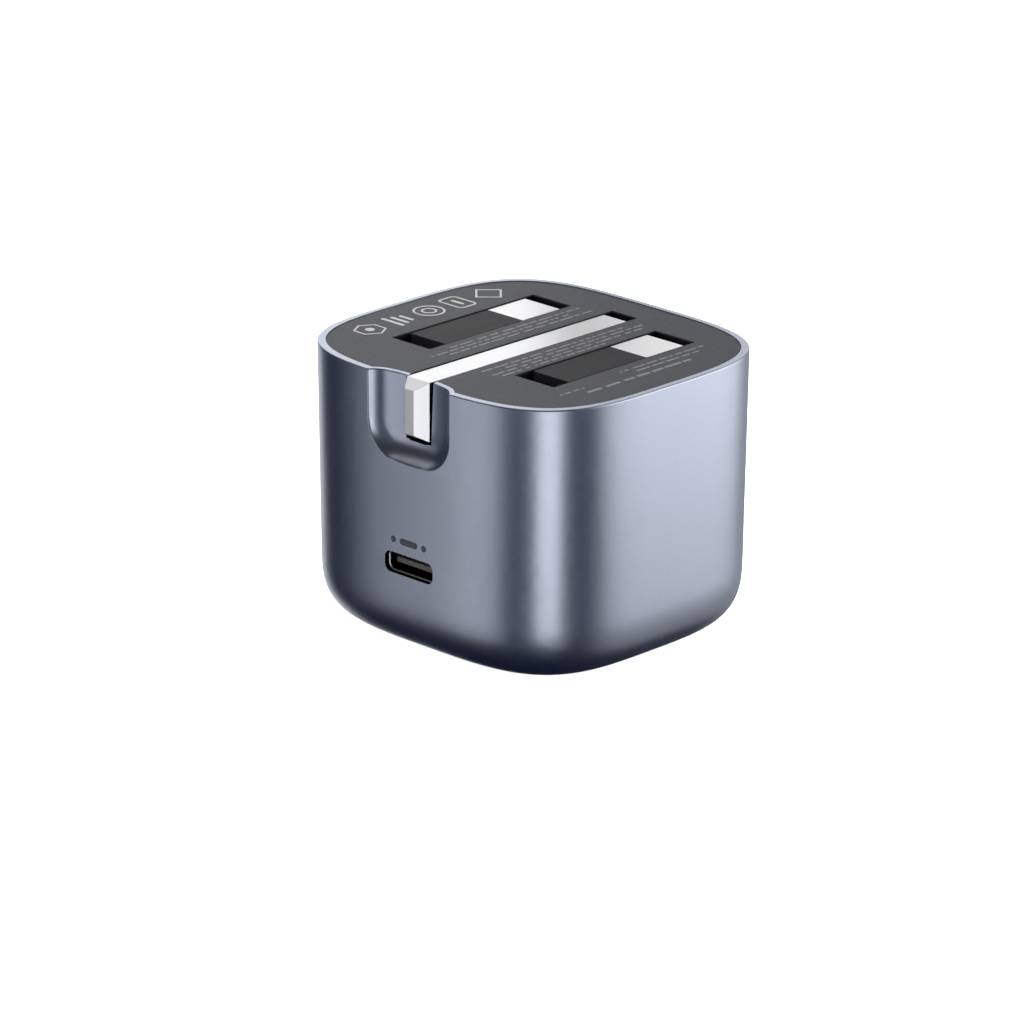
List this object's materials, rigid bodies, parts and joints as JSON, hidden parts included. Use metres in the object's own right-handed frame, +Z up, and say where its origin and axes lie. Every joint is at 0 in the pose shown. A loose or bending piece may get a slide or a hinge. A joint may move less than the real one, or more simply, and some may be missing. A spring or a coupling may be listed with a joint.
{
  "type": "usb-c wall charger",
  "caption": "Compact rounded-square USB-C wall charger whose rectangular-pin mains plug folds flat into its dark top face, lifted at a thumb notch above the port.",
  "frame": {"origin": "centre of the underside", "axes": "+Z up out of the plug face, -Y out of the side with the thumb notch and the USB-C port, X across the line and neutral pins"},
  "size_m": [0.0496, 0.0458, 0.0383],
  "materials": {
    "shell_metallic": "satin metallic paint on a moulded shell",
    "face_dark": "fine matt moulding",
    "inner_black": "matt",
    "steel_zinc": "zinc plated",
    "spring_steel": "plain",
    "bronze_strip": "rolled strip",
    "insulation_paper": "pressed sheet",
    "board_laminate": "glass-filled laminate, solder mask",
    "port_steel": "bright drawn",
    "gold_contact": "gold plated",
    "ferrite": "sintered",
    "coil_tape": "wound coil under tape",
    "capacitor_sleeve": "shrunk sleeve",
    "capacitor_can": "drawn can",
    "copper_wire": "enamelled",
    "capacitor_box": "moulded box",
    "capacitor_disc": "dipped",
    "fuse_tube": "sleeved",
    "chip_black": "moulded",
    "chip_ceramic": "fired",
    "gap_pad": "soft",
    "spreader_alloy": "rolled",
    "pin_nickel": "nickel plated",
    "gear_white": "acetal",
    "sleeve_dark": "matt"
  },
  "bodies": {
    "charger_body": {"housing_shell": "shell_metallic", "face_plate": "face_dark", "mechanism_cover": "inner_black", "cover_screws": "steel_zinc", "detent_spring": "spring_steel", "line_pivot_pins": "spring_steel", "neutral_pivot_pins": "spring_steel", "line_terminal": "bronze_strip", "neutral_terminal": "bronze_strip", "insulation_sheet": "insulation_paper", "main_board": "board_laminate", "usb_shell": "port_steel", "usb_tongue": "inner_black", "usb_contacts": "gold_contact", "port_bezel": "inner_black", "transformer_core": "ferrite", "transformer_coil": "coil_tape", "bulk_capacitors": "capacitor_sleeve", "output_capacitor": "capacitor_can", "choke_core": "ferrite", "choke_winding": "copper_wire", "x_capacitor": "capacitor_box", "y_capacitor": "capacitor_disc", "fuse_link": "fuse_tube", "opto_coupler": "chip_black", "bridge_rectifier": "chip_black", "power_switch": "chip_black", "sync_rectifier": "chip_black", "port_controller": "chip_black", "chip_passives": "chip_ceramic", "thermal_pad": "gap_pad", "heat_spreader": "spreader_alloy"},
    "earth_pin_set": {"earth_pin": "pin_nickel", "earth_shaft": "spring_steel", "earth_pinions": "gear_white"},
    "line_pin_set": {"line_pin": "pin_nickel", "line_sleeve": "sleeve_dark"},
    "neutral_pin_set": {"neutral_pin": "pin_nickel", "neutral_sleeve": "sleeve_dark"},
    "rack_bar": {"rack_slider": "gear_white"}
  },
  "joints": [
    {"name": "earth_fold", "type": "hinge", "parent": "charger_body", "child": "earth_pin_set", "pos_m": [0, 0.0086, 0.0296], "axis": [-1, 0, 0], "range_deg": [0, 90]},
    {"name": "line_fold", "type": "hinge", "parent": "charger_body", "child": "line_pin_set", "pos_m": [-0.0111, -0.0078, 0.0348], "axis": [1, 0, 0], "range_deg": [0, 90]},
    {"name": "neutral_fold", "type": "hinge", "parent": "charger_body", "child": "neutral_pin_set", "pos_m": [0.0111, -0.0078, 0.0348], "axis": [1, 0, 0], "range_deg": [0, 90]},
    {"name": "rack_slide", "type": "slide", "parent": "charger_body", "child": "rack_bar", "axis": [0, 1, 0], "range_m": [0, 0.00315]}
  ],
  "couplings": [
    {"joint": "line_fold", "follows": "earth_fold", "ratio": 1},
    {"joint": "neutral_fold", "follows": "earth_fold", "ratio": 1},
    {"joint": "rack_slide", "follows": "earth_fold", "m_per_rad": 0.002}
  ]
}
